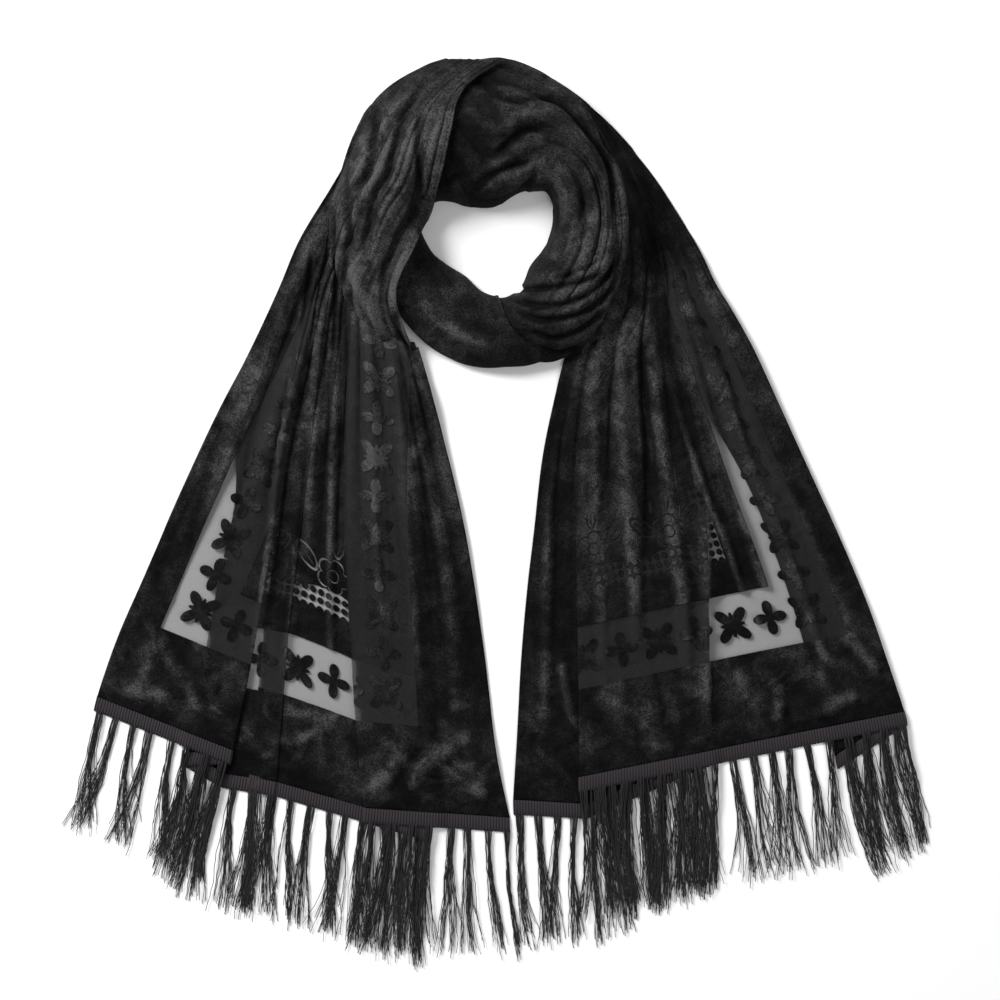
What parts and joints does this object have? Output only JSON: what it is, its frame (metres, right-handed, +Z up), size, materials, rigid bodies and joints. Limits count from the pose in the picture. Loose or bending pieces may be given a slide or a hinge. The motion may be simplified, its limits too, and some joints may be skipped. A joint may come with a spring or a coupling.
{
  "type": "evening stole",
  "caption": "Fringed velvet evening stole with sheer patterned bands, laid flat and wound round its neck opening, both ends fanned out in knife pleats.",
  "frame": {"origin": "centre of the laid-out stole's plan, on the surface that it lies on", "axes": "+Z up from the surface, -Y towards the fringed ends, +X to the right seen from above with the fringes towards the viewer"},
  "size_m": [0.8697, 0.9071, 0.0516],
  "materials": {
    "velvet": "crushed pile, black, with sheer bands where the pile is left out",
    "gimp_braid": "ribbed, low sheen",
    "fringe_yarn": "twisted yarn with a soft sheen"
  },
  "bodies": {
    "root": {"hidden_folds": "velvet", "right_tail": "velvet", "neck_turn": "velvet", "front_band": "velvet", "left_tail": "velvet", "left_braid": "gimp_braid", "right_braid": "gimp_braid", "left_fringe": "fringe_yarn", "right_fringe": "fringe_yarn"}
  },
  "joints": []
}
